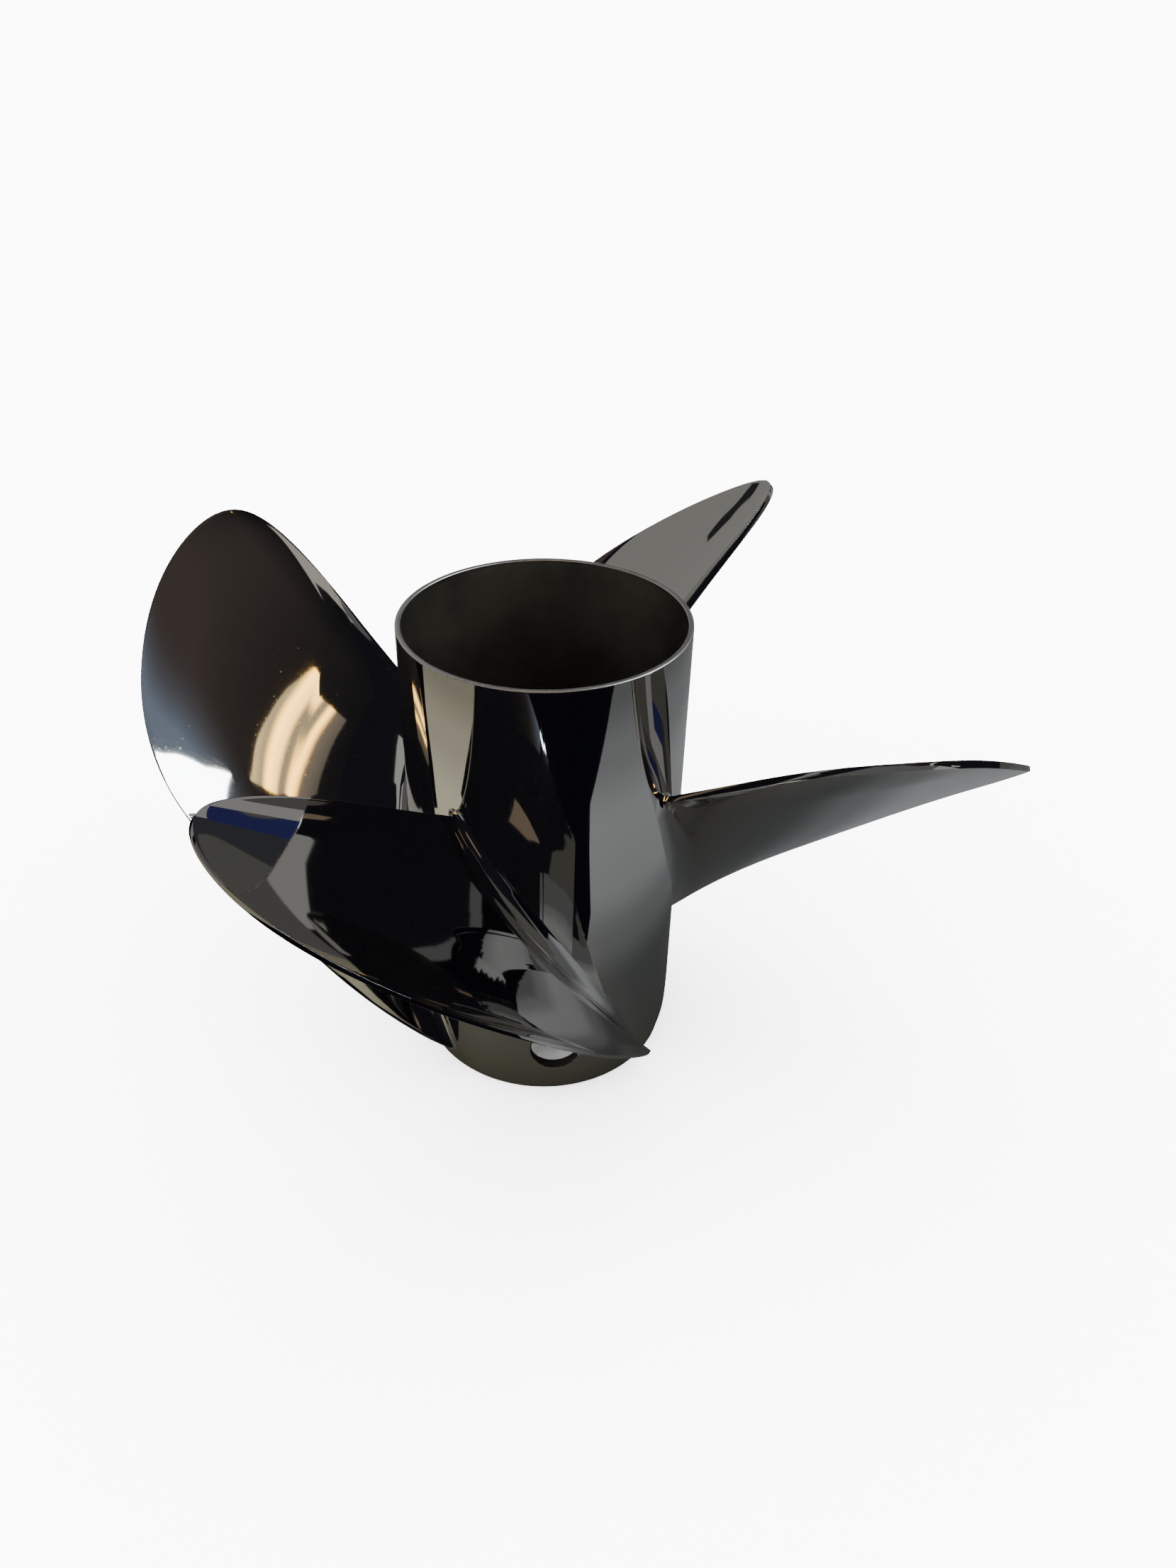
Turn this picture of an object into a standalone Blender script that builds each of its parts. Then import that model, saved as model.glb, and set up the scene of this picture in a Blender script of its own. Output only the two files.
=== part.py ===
"""Four-blade left-hand propeller for a stern drive, with its exhaust led out through the hub.

Frame: metres, +Z up. The propeller stands on its forward end, so +Z points aft, along the
shaft, and the origin is on the shaft axis at the forward end face. Seen from above, angles
turn anticlockwise from +X. The first blade leans towards the viewer who looks along +Y.
"""
import math

import bmesh
import bpy
import numpy as np
from mathutils import Vector

# Driving dimensions, in metres
TIP_DIAMETER = 0.381
BARREL_LENGTH = 0.200
BARREL_AFT_RADIUS = 0.0592
BARREL_FORWARD_RADIUS = 0.0556
NOSE_FACE_RADIUS = 0.0510
NOSE_CORNER_RADIUS = 0.0526
NOSE_CORNER_HEIGHT = 0.0020
NOSE_RIDGE_RADIUS = 0.0549
NOSE_RIDGE_HEIGHT = 0.0115
NOSE_HEIGHT = 0.0200
NOSE_INNER_RADIUS = 0.0472
BARREL_AFT_WALL = 0.0023
BARREL_FORWARD_WALL = 0.0040
RIM_BEVEL = 0.0005
VENT_DIAMETER = 0.0210
VENT_HEIGHT = 0.0255
VENT_ANGLE = 275.5
VENT_CUTTER_LENGTH = 0.0400

BLADE_COUNT = 4
TRAILING_EDGE = 0.0028
LEADING_EDGE = 0.0012
BLADE_TIP_THICKNESS = 0.0034
BLADE_ROOT_THICKNESS = 0.0085
BLADE_CAMBER = 0.0040
BLADE_CUP = 0.0022
CUP_WIDTH = 0.12
ROOT_FILLET = 0.0060
FILLET_SPAN = 0.045
LEAST_BLADE_HEIGHT = 0.0015

HUB_OUTER_RADIUS = 0.0310
HUB_BORE_RADIUS = 0.0250
HUB_FORWARD = 0.0120
HUB_AFT = 0.1220
HUB_LEDGE_RADIUS = 0.0195
HUB_LEDGE = 0.0050
HUB_BEVEL = 0.0015
RIB_THICKNESS = 0.0060
RIB_FORWARD = NOSE_HEIGHT
RIB_AFT = 0.1160
RIB_FIRST_ANGLE = 45.0

BUSH_SET_BACK = 0.0040
BUSH_BEVEL = 0.0020

SLEEVE_RADIUS = 0.0170
SLEEVE_FORWARD = 0.0100
SLEEVE_AFT = 0.1260
SPLINE_TEETH = 15
SPLINE_ROOT_RADIUS = 0.0145
SPLINE_TIP_RADIUS = 0.0130

GAP = 0.0003

# The blade's outline, from the root of its trailing edge, round the tip, to the root of its
# leading edge: angle round the shaft in degrees, and height above the forward end in metres.
# The steps are even in the square root of the distance inboard of the tip.
OUTLINE = (
    (233.6, 0.1370),
    (230.9, 0.1728),
    (230.4, 0.1944),
    (233.4, 0.2008),
    (241.5, 0.1880),
    (254.6, 0.1618),
    (271.4, 0.1220),
    (285.3, 0.0738),
    (316.5, 0.0100),
)

# How the blade's sections change: the share of the outline that the tip row runs along, how
# late the rows bend to it, and the powers that fade the thickness and the bow of a section.
TIP_ARC = 0.34
TIP_BLEND = 3.0
TIP_FADE = 6
ROOT_TO_TIP_FADE = 1.3
SECTION_FULLNESS = 0.8
CUP_START = 3.0
FILLET_MIDDLE_SPAN = 0.4
FILLET_MIDDLE_WIDTH = 0.25
FILLET_RUN_OUT = 4.0
NORMAL_STEP = 0.004
NORMAL_INSET = 0.04

# Fineness of the solids
BARREL_SIDES = 96
BARREL_LEVELS = 8
VENT_SIDES = 24
CHORD_STEPS = 22
THICKNESS_STEPS = 4
SPAN_STEPS = 13
HUB_SIDES = 64
BUSH_SIDES = 48
SHARP_ANGLE = 35.0


def clear_scene():
    for obj in list(bpy.data.objects):
        bpy.data.objects.remove(obj, do_unlink=True)


def make_material(name, color, metallic, roughness):
    material = bpy.data.materials.new(name)
    material.use_nodes = True
    shader = material.node_tree.nodes["Principled BSDF"]
    shader.inputs["Base Color"].default_value = (*color, 1.0)
    shader.inputs["Metallic"].default_value = metallic
    shader.inputs["Roughness"].default_value = roughness
    material.diffuse_color = (*color, 1.0)
    return material


def add_object(name, bm, material):
    bmesh.ops.recalc_face_normals(bm, faces=bm.faces)
    mesh = bpy.data.meshes.new(name)
    bm.to_mesh(mesh)
    bm.free()
    mesh.materials.append(material)
    mesh.shade_smooth()
    mesh.set_sharp_from_angle(angle=math.radians(SHARP_ANGLE))
    obj = bpy.data.objects.new(name, mesh)
    bpy.context.scene.collection.objects.link(obj)
    return obj


def on_cylinder(radius, degrees, height):
    angle = math.radians(degrees)
    return Vector((radius * math.cos(angle), radius * math.sin(angle), height))


def turn_profile(profile, sides):
    """Spin a closed outline of (radius, height) pairs once round the Z axis."""
    bm = bmesh.new()
    verts = [bm.verts.new((radius, 0.0, height)) for radius, height in profile]
    edges = [bm.edges.new((a, b)) for a, b in zip(verts, verts[1:] + verts[:1])]
    bmesh.ops.spin(
        bm,
        geom=verts + edges,
        cent=(0.0, 0.0, 0.0),
        axis=(0.0, 0.0, 1.0),
        angle=math.tau,
        steps=sides,
        use_merge=True,
        use_duplicate=False,
    )
    return bm


# Barrel

# Outside of the barrel, from the forward face up: radius and height
BARREL_PROFILE = (
    (NOSE_FACE_RADIUS, 0.0),
    (NOSE_CORNER_RADIUS, NOSE_CORNER_HEIGHT),
    (NOSE_RIDGE_RADIUS, NOSE_RIDGE_HEIGHT),
    (BARREL_FORWARD_RADIUS, NOSE_HEIGHT),
    (BARREL_AFT_RADIUS, BARREL_LENGTH),
)


def barrel_outer(height):
    """Outer radius of the barrel: a rounded nose with a ridge, then a taper to the rim."""
    heights = [row[1] for row in BARREL_PROFILE]
    radii = [row[0] for row in BARREL_PROFILE]
    return float(np.interp(height, heights, radii))


def barrel_inner(height):
    """Inner radius: the wall thins evenly towards the rim, and is thick at the nose."""
    forward = BARREL_FORWARD_RADIUS - BARREL_FORWARD_WALL
    aft = BARREL_AFT_RADIUS - BARREL_AFT_WALL
    heights = (0.0, NOSE_HEIGHT, BARREL_LENGTH)
    return float(np.interp(height, heights, (NOSE_INNER_RADIUS, forward, aft)))


def make_barrel(material):
    levels = np.linspace(NOSE_HEIGHT, BARREL_LENGTH - RIM_BEVEL, BARREL_LEVELS)
    body = [float(height) for height in levels]
    nose = [0.0, NOSE_CORNER_HEIGHT, NOSE_RIDGE_HEIGHT]
    outer = [(barrel_outer(height), height) for height in nose + body]
    rim = [
        (BARREL_AFT_RADIUS - RIM_BEVEL, BARREL_LENGTH),
        (BARREL_AFT_RADIUS - BARREL_AFT_WALL + RIM_BEVEL, BARREL_LENGTH),
    ]
    inner = [(barrel_inner(height), height) for height in reversed([0.0] + body)]
    barrel = add_object("barrel", turn_profile(outer + rim + inner, BARREL_SIDES), material)
    for number in range(BLADE_COUNT):
        cutter = make_vent_cutter(number, material)
        cut = barrel.modifiers.new(cutter.name, "BOOLEAN")
        cut.operation = "DIFFERENCE"
        cut.object = cutter
    return barrel


def make_vent_cutter(number, material):
    """A plain rod, laid along a radius, that cuts one round vent through the wall."""
    bm = bmesh.new()
    bmesh.ops.create_cone(
        bm,
        cap_ends=True,
        segments=VENT_SIDES,
        radius1=VENT_DIAMETER / 2.0,
        radius2=VENT_DIAMETER / 2.0,
        depth=VENT_CUTTER_LENGTH,
    )
    cutter = add_object(f"vent_cutter_{number + 1}", bm, material)
    degrees = VENT_ANGLE + 90.0 * number
    cutter.location = on_cylinder(BARREL_FORWARD_RADIUS, degrees, VENT_HEIGHT)
    cutter.rotation_euler = (0.0, math.pi / 2.0, math.radians(degrees))
    cutter.hide_render = True
    cutter.display_type = "WIRE"
    return cutter


# Blades

TIP_RADIUS = TIP_DIAMETER / 2.0


def natural_spline(values, at):
    """Natural cubic spline through evenly spaced values from -1 to 1, read at one place."""
    values = np.asarray(values)
    count = len(values)
    step = 2.0 / (count - 1)
    system = np.eye(count)
    right = np.zeros(count)
    for row in range(1, count - 1):
        system[row, row - 1:row + 2] = (1.0, 4.0, 1.0)
        right[row] = 6.0 * (values[row - 1] - 2.0 * values[row] + values[row + 1]) / step ** 2
    bend = np.linalg.solve(system, right)
    left = min(max(int((at + 1.0) / step), 0), count - 2)
    t = (at + 1.0) / step - left
    s = 1.0 - t
    curve = ((s ** 3 - s) * bend[left] + (t ** 3 - t) * bend[left + 1]) * step ** 2 / 6.0
    return s * values[left] + t * values[left + 1] + curve


def outline_point(place):
    """Radius, angle and height on the outline; place runs from -1 (trailing) to 1 (leading)."""
    degrees = natural_spline([row[0] for row in OUTLINE], place)
    height = natural_spline([row[1] for row in OUTLINE], place)
    radius = TIP_RADIUS - (TIP_RADIUS - barrel_outer(height)) * place * place
    return np.array([radius, degrees, height])


def blade_point(chordwise, spanwise):
    """Middle surface: chordwise 0 is the trailing edge, spanwise 0 is the root."""
    place = 1.0 - (1.0 - TIP_ARC) * spanwise
    straight = outline_point(-place) * (1.0 - chordwise) + outline_point(place) * chordwise
    end = outline_point(-TIP_ARC) * (1.0 - chordwise) + outline_point(TIP_ARC) * chordwise
    arc = outline_point(TIP_ARC * (2.0 * chordwise - 1.0))
    radius, degrees, height = straight + (arc - end) * spanwise ** TIP_BLEND
    return np.array(on_cylinder(radius, degrees, height))


def blade_normal(chordwise, spanwise):
    """Unit normal of the middle surface, pointing aft and away from the shaft's turn."""
    step = NORMAL_STEP
    chord = min(max(chordwise, NORMAL_INSET), 1.0 - NORMAL_INSET)
    span = min(max(spanwise, step), 1.0 - NORMAL_INSET)
    along = blade_point(chord + step, span) - blade_point(chord - step, span)
    across = blade_point(chord, span + step) - blade_point(chord, span - step)
    normal = np.cross(along, across)
    normal /= np.linalg.norm(normal)
    return normal if normal[2] > 0.0 else -normal


def blade_thickness(chordwise, spanwise):
    """Thickest at the root's middle; the trailing edge is blunt and the leading edge thin."""
    fade = (1.0 - spanwise) ** ROOT_TO_TIP_FADE
    middle = BLADE_TIP_THICKNESS + (BLADE_ROOT_THICKNESS - BLADE_TIP_THICKNESS) * fade
    edge = TRAILING_EDGE + (LEADING_EDGE - TRAILING_EDGE) * chordwise
    swell = math.sin(math.pi * chordwise) ** SECTION_FULLNESS * (1.0 - spanwise ** TIP_FADE)
    return edge + (middle - edge) * swell


def blade_dip(chordwise, spanwise):
    """How far the middle surface bows forward of its edges: camber, and the edge cup."""
    camber = BLADE_CAMBER * 4.0 * chordwise * (1.0 - chordwise)
    rise = min(chordwise / CUP_WIDTH, 1.0)
    cup = BLADE_CUP * rise * rise * (3.0 - 2.0 * rise) * (1.0 - chordwise)
    bow = camber + cup * min(1.0, CUP_START * spanwise)
    return bow * (1.0 - spanwise ** TIP_FADE)


def blade_section(spanwise, flare):
    """Rows of points from the trailing to the leading edge; each row runs aft to forward."""
    section = []
    for step in range(CHORD_STEPS + 1):
        chordwise = 0.5 - 0.5 * math.cos(math.pi * step / CHORD_STEPS)
        normal = blade_normal(chordwise, spanwise)
        middle = blade_point(chordwise, spanwise) - normal * blade_dip(chordwise, spanwise)
        swell = min(1.0, FILLET_RUN_OUT * math.sin(math.pi * chordwise))
        half = blade_thickness(chordwise, spanwise) / 2.0 + flare * swell
        sides = [1.0 - 2.0 * row / THICKNESS_STEPS for row in range(THICKNESS_STEPS + 1)]
        section.append([middle + normal * half * side for side in sides])
    return section


def section_loop(section):
    """The points round a section: aft side, leading edge, forward side, trailing edge."""
    aft_side = [row[0] for row in section]
    forward_side = [row[-1] for row in reversed(section)]
    return aft_side + section[-1][1:-1] + forward_side + section[0][-2:0:-1]


def keep_off_barrel(point, clearance, seated):
    """Move a point out along its radius until it clears the barrel, or onto that clearance."""
    out = math.hypot(point[0], point[1])
    height = max(point[2], LEAST_BLADE_HEIGHT)
    seat = barrel_outer(height) + clearance
    if seated or out < seat:
        return np.array([point[0] * seat / out, point[1] * seat / out, height])
    return np.array([point[0], point[1], height])


def make_blade(number, material):
    fillet_middle = (FILLET_SPAN * FILLET_MIDDLE_SPAN, ROOT_FILLET * FILLET_MIDDLE_WIDTH)
    rows = [(0.0, ROOT_FILLET), fillet_middle, (FILLET_SPAN, 0.0)]
    rows += [(float(span), 0.0) for span in np.linspace(0.0, 1.0, SPAN_STEPS)[1:]]
    bm = bmesh.new()
    sections = []
    for count, (spanwise, flare) in enumerate(rows):
        clearance = GAP * (1.0 + count)
        section = [
            [bm.verts.new(keep_off_barrel(point, clearance, count == 0)) for point in row]
            for row in blade_section(spanwise, flare)
        ]
        sections.append(section)
    rings = [section_loop(section) for section in sections]
    around = len(rings[0])
    for lower, upper in zip(rings, rings[1:]):
        for k in range(around):
            n = (k + 1) % around
            bm.faces.new((lower[k], lower[n], upper[n], upper[k]))
    for section in (sections[0], sections[-1]):
        for here, ahead in zip(section, section[1:]):
            for k in range(THICKNESS_STEPS):
                bm.faces.new((here[k], ahead[k], ahead[k + 1], here[k + 1]))
    loose = [vert for vert in bm.verts if not vert.link_faces]
    bmesh.ops.delete(bm, geom=loose, context="VERTS")
    blade = add_object(f"blade_{number + 1}", bm, material)
    blade.rotation_euler = (0.0, 0.0, math.radians(360.0 / BLADE_COUNT * number))
    return blade


# Drive hub inside the barrel

def make_inner_hub(material):
    """A tube with bevelled ends, and a ledge inside that the bush is pressed against."""
    profile = [
        (HUB_LEDGE_RADIUS, HUB_FORWARD),
        (HUB_OUTER_RADIUS - HUB_BEVEL, HUB_FORWARD),
        (HUB_OUTER_RADIUS, HUB_FORWARD + HUB_BEVEL),
        (HUB_OUTER_RADIUS, HUB_AFT - HUB_BEVEL),
        (HUB_OUTER_RADIUS - HUB_BEVEL, HUB_AFT),
        (HUB_BORE_RADIUS, HUB_AFT),
        (HUB_BORE_RADIUS, HUB_FORWARD + HUB_LEDGE),
        (HUB_LEDGE_RADIUS, HUB_FORWARD + HUB_LEDGE),
    ]
    return add_object("inner_hub", turn_profile(profile, HUB_SIDES), material)


def make_rubber_bush(material):
    inner = SLEEVE_RADIUS + GAP
    outer = HUB_BORE_RADIUS - GAP
    forward = HUB_FORWARD + HUB_LEDGE + GAP
    aft = HUB_AFT - BUSH_SET_BACK
    profile = [
        (inner, forward),
        (outer, forward),
        (outer, aft - BUSH_BEVEL),
        (outer - BUSH_BEVEL, aft),
        (inner, aft),
    ]
    return add_object("rubber_bush", turn_profile(profile, BUSH_SIDES), material)


def make_splined_sleeve(material):
    """Straight-sided splines inside a plain tube, from one end face to the other."""
    per_tooth = 4
    sides = SPLINE_TEETH * per_tooth
    bm = bmesh.new()
    rings = []
    for height in (SLEEVE_FORWARD, SLEEVE_AFT):
        inner, outer = [], []
        for k in range(sides):
            degrees = 360.0 * k / sides
            root = k % per_tooth < per_tooth // 2
            radius = SPLINE_ROOT_RADIUS if root else SPLINE_TIP_RADIUS
            inner.append(bm.verts.new(on_cylinder(radius, degrees, height)))
            outer.append(bm.verts.new(on_cylinder(SLEEVE_RADIUS, degrees, height)))
        rings.append((inner, outer))
    (inner0, outer0), (inner1, outer1) = rings
    for k in range(sides):
        n = (k + 1) % sides
        bm.faces.new((inner0[k], inner0[n], inner1[n], inner1[k]))
        bm.faces.new((outer0[k], outer0[n], outer1[n], outer1[k]))
        bm.faces.new((inner0[k], inner0[n], outer0[n], outer0[k]))
        bm.faces.new((inner1[k], inner1[n], outer1[n], outer1[k]))
    return add_object("splined_sleeve", bm, material)


def make_rib(number, material):
    """A flat web from the inner hub to the barrel, along the shaft."""
    inboard = HUB_OUTER_RADIUS + GAP
    half = RIB_THICKNESS / 2.0
    bm = bmesh.new()
    corners = []
    for height in (RIB_FORWARD, RIB_AFT):
        outboard = barrel_inner(height) - GAP - half * half / (2.0 * barrel_inner(height))
        ring = [(inboard, -half), (outboard, -half), (outboard, half), (inboard, half)]
        corners.append([bm.verts.new((x, y, height)) for x, y in ring])
    bm.faces.new(corners[0])
    bm.faces.new(corners[1])
    for k in range(4):
        n = (k + 1) % 4
        bm.faces.new((corners[0][k], corners[0][n], corners[1][n], corners[1][k]))
    rib = add_object(f"rib_{number + 1}", bm, material)
    rib.rotation_euler = (0.0, 0.0, math.radians(RIB_FIRST_ANGLE + 90.0 * number))
    return rib


def main():
    clear_scene()
    polished = make_material("polished_steel", (0.62, 0.62, 0.61), 1.0, 0.05)
    cast = make_material("cast_steel", (0.20, 0.19, 0.175), 1.0, 0.45)
    rubber = make_material("black_rubber", (0.03, 0.03, 0.03), 0.0, 0.7)
    sleeve = make_material("sleeve_brass", (0.55, 0.42, 0.20), 1.0, 0.35)
    make_barrel(polished)
    make_inner_hub(cast)
    make_rubber_bush(rubber)
    make_splined_sleeve(sleeve)
    for number in range(BLADE_COUNT):
        make_blade(number, polished)
        make_rib(number, cast)


main()
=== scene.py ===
# %% [markdown]
# A boat propeller, dressed in Blender
#
# The real object is one stainless steel casting: a barrel that the exhaust leaves through,
# and four swept blades, all polished until they mirror the room. The solids that carry the
# load are already made and packed. This lesson puts a finer skin over them, gives each
# surface its finish, and lights it. Everything is in metres, with +Z along the shaft.

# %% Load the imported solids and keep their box
import math

import bmesh
import bpy
import numpy as np
from mathutils import Matrix, Vector


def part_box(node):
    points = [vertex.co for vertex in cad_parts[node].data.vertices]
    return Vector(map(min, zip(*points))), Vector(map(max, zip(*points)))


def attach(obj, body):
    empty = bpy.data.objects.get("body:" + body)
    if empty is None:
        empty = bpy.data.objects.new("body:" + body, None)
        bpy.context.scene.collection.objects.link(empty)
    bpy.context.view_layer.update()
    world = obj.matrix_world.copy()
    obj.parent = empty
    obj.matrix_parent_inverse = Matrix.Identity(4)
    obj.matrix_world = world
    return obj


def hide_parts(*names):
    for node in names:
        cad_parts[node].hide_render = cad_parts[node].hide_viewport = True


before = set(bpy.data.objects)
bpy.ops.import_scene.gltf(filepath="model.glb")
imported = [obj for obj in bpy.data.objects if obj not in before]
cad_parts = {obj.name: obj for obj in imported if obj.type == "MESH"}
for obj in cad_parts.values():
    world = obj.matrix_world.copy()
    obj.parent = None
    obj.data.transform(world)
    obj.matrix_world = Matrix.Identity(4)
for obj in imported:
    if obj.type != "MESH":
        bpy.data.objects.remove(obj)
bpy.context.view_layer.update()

print("solids:", sorted(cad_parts))

# %% [markdown]
# The sizes that drive the casting
#
# A polished surface shows every facet, so the skin is worked out again from the same few
# sizes as the solids, only with many more steps. The barrel's length is read from the frame,
# which keeps the two models in step.

# %% Sizes of the barrel and the blades
BARREL_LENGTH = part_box("barrel")[1].z
BARREL_AFT_RADIUS = 0.0592
BARREL_AFT_WALL = 0.0023
NOSE_INNER_RADIUS = 0.0472
INNER_FORWARD_RADIUS = 0.0516
VENT_RADIUS = 0.0105
VENT_HEIGHT = 0.0255
VENT_ANGLE = 275.5
BLADE_COUNT = 4
TIP_RADIUS = 0.1904

# Outside of the barrel from its forward face up: radius, height, and how far its corner
# is rounded
BARREL_OUTSIDE = (
    (0.0510, 0.0, 0.0004),
    (0.0526, 0.0020, 0.0011),
    (0.0549, 0.0115, 0.0015),
    (0.0556, 0.0200, 0.0060),
    (BARREL_AFT_RADIUS, BARREL_LENGTH, 0.0005),
)
NOSE_TOP = BARREL_OUTSIDE[3][1]

# The blade's outline from the root of its trailing edge, round the tip, to the root of its
# leading edge: angle round the shaft in degrees, and height
BLADE_OUTLINE = (
    (233.6, 0.1370),
    (230.9, 0.1728),
    (230.4, 0.1944),
    (233.4, 0.2008),
    (241.5, 0.1880),
    (254.6, 0.1618),
    (271.4, 0.1220),
    (285.3, 0.0738),
    (316.5, 0.0100),
)


def barrel_radius(height):
    """Outer radius of the barrel at a height, or at each of many heights."""
    heights = [row[1] for row in BARREL_OUTSIDE]
    radii = [row[0] for row in BARREL_OUTSIDE]
    return np.interp(height, heights, radii)


def smooth_step(value):
    """0 below 0, 1 above 1, and an even S between."""
    value = np.clip(value, 0.0, 1.0)
    return value * value * (3.0 - 2.0 * value)


print("barrel length in mm:", round(BARREL_LENGTH * 1000, 1))

# %% [markdown]
# The camera
#
# The photograph was taken from above and in front, close enough for strong perspective. The
# lens and the shift place the picture's own centre, so no crop is needed. The camera is made
# early because every later choice is judged through it.

# %% Place the camera
PHOTO_HEIGHT = 2212
PHOTO_FOCAL_PIXELS = 2054.57
SENSOR = 36.0

camera_data = bpy.data.cameras.new("camera")
camera_data.sensor_width = SENSOR
camera_data.lens = PHOTO_FOCAL_PIXELS / PHOTO_HEIGHT * SENSOR
camera_data.shift_x = 0.0279
camera_data.shift_y = -0.0593
camera = bpy.data.objects.new("camera", camera_data)
bpy.context.scene.collection.objects.link(camera)
pitch = Matrix.Rotation(math.radians(90.0 - 29.226), 4, "X")
roll = Matrix.Rotation(math.radians(0.145), 4, "Z")
camera.matrix_world = Matrix.Translation((0.0, -0.5165, 0.4563)) @ pitch @ roll
bpy.context.scene.camera = camera
print("lens in mm:", round(camera_data.lens, 2))

# %% [markdown]
# Small helpers for every piece
#
# Each piece is a bmesh that becomes an object at the origin. It rides on the one body that
# the casting has, and stands for the solid below it.

# %% Turn a bmesh into a finished piece
SMOOTH_LIMIT = 40.0


def finish_piece(name, bm, node, materials):
    """Make the object, smooth it, and tie it to the frame."""
    mesh = bpy.data.meshes.new(name)
    bm.to_mesh(mesh)
    bm.free()
    for material in materials:
        mesh.materials.append(material)
    mesh.shade_smooth()
    mesh.set_sharp_from_angle(angle=math.radians(SMOOTH_LIMIT))
    piece = bpy.data.objects.new(name, mesh)
    bpy.context.scene.collection.objects.link(piece)
    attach(piece, "root")
    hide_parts(node)
    print(name, len(mesh.polygons), "faces")
    return piece


def round_edges(bm, edges, width, segments):
    """Bevel some edges into a round."""
    bmesh.ops.bevel(
        bm,
        geom=edges,
        offset=width,
        offset_type="OFFSET",
        affect="EDGES",
        segments=segments,
        profile=0.5,
        material=-1,
        clamp_overlap=True,
    )


def spin_outline(outline, steps):
    """Spin a closed outline of radius and height once round the shaft."""
    bm = bmesh.new()
    verts = [bm.verts.new((radius, 0.0, height)) for radius, height in outline]
    edges = [bm.edges.new(pair) for pair in zip(verts, verts[1:] + verts[:1])]
    bmesh.ops.spin(
        bm,
        geom=verts + edges,
        cent=(0.0, 0.0, 0.0),
        axis=(0.0, 0.0, 1.0),
        angle=math.tau,
        steps=steps,
        use_merge=True,
        use_duplicate=False,
    )
    bmesh.ops.recalc_face_normals(bm, faces=bm.faces)
    return bm


# %% [markdown]
# Shared finishes
#
# Two effects serve more than one surface: the faint waves and hairlines that hand polishing
# leaves, and the pits of a casting that nobody polished. Each is a node group with named
# sockets, so that every material can use it with its own values.

# %% A helper that starts a node group
def start_group(name, inputs, outputs):
    """A shader node group with float or vector inputs and the outputs that are named."""
    group = bpy.data.node_groups.new(name, "ShaderNodeTree")
    for socket_name, kind, default in inputs:
        socket = group.interface.new_socket(socket_name, in_out="INPUT", socket_type=kind)
        if default is not None:
            socket.default_value = default
    for socket_name, kind in outputs:
        group.interface.new_socket(socket_name, in_out="OUTPUT", socket_type=kind)
    entry = group.nodes.new("NodeGroupInput")
    leave = group.nodes.new("NodeGroupOutput")
    return group, entry, leave


def add_node(tree, kind, **settings):
    node = tree.nodes.new(kind)
    for key, value in settings.items():
        setattr(node, key, value)
    return node


def scale_by(tree, left, right):
    """A node that multiplies two values, each a socket or a number."""
    node = add_node(tree, "ShaderNodeMath", operation="MULTIPLY")
    for slot_number, value in enumerate((left, right)):
        if isinstance(value, (int, float)):
            node.inputs[slot_number].default_value = value
        else:
            tree.links.new(value, node.inputs[slot_number])
    return node.outputs[0]


def stretch_range(tree, value, low, high, to_low, to_high):
    """A node that maps one range of values to another."""
    node = add_node(tree, "ShaderNodeMapRange")
    tree.links.new(value, node.inputs["Value"])
    node.inputs["From Min"].default_value = low
    node.inputs["From Max"].default_value = high
    node.inputs["To Min"].default_value = to_low
    node.inputs["To Max"].default_value = to_high
    return node.outputs[0]


# %% Hand polishing: slow waves, hairlines and specks
def make_polish_group():
    group, entry, leave = start_group(
        "hand_polish",
        [
            ("Vector", "NodeSocketVector", None),
            ("Least Roughness", "NodeSocketFloat", 0.03),
            ("Wave Depth", "NodeSocketFloat", 0.00004),
            ("Marks", "NodeSocketFloat", 0.5),
        ],
        [("Roughness", "NodeSocketFloat"), ("Normal", "NodeSocketVector")],
    )
    links = group.links
    waves = add_node(group, "ShaderNodeTexNoise")
    waves.inputs["Scale"].default_value = 26.0
    waves.inputs["Detail"].default_value = 1.0
    links.new(entry.outputs["Vector"], waves.inputs["Vector"])
    hairs = add_node(group, "ShaderNodeTexNoise")
    hairs.inputs["Scale"].default_value = 900.0
    hairs.inputs["Detail"].default_value = 3.0
    stretched = add_node(group, "ShaderNodeMapping")
    stretched.inputs["Scale"].default_value = (1.0, 1.0, 0.06)
    stretched.inputs["Rotation"].default_value = (0.5, 0.2, 0.0)
    links.new(entry.outputs["Vector"], stretched.inputs["Vector"])
    links.new(stretched.outputs[0], hairs.inputs["Vector"])
    specks = add_node(group, "ShaderNodeTexVoronoi")
    specks.inputs["Scale"].default_value = 240.0
    links.new(entry.outputs["Vector"], specks.inputs["Vector"])
    hair_mask = stretch_range(group, hairs.outputs[0], 0.60, 0.72, 0.0, 0.05)
    speck_mask = stretch_range(group, specks.outputs["Distance"], 0.05, 0.10, 0.16, 0.0)
    both = add_node(group, "ShaderNodeMath", operation="ADD")
    links.new(hair_mask, both.inputs[0])
    links.new(speck_mask, both.inputs[1])
    marks = scale_by(group, both.outputs[0], entry.outputs["Marks"])
    total = add_node(group, "ShaderNodeMath", operation="ADD")
    links.new(marks, total.inputs[0])
    links.new(entry.outputs["Least Roughness"], total.inputs[1])
    links.new(total.outputs[0], leave.inputs["Roughness"])
    bump = add_node(group, "ShaderNodeBump")
    bump.inputs["Strength"].default_value = 1.0
    links.new(entry.outputs["Wave Depth"], bump.inputs["Distance"])
    links.new(waves.outputs[0], bump.inputs["Height"])
    links.new(bump.outputs["Normal"], leave.inputs["Normal"])
    return group


POLISH = make_polish_group()
print("group:", POLISH.name)


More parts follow.
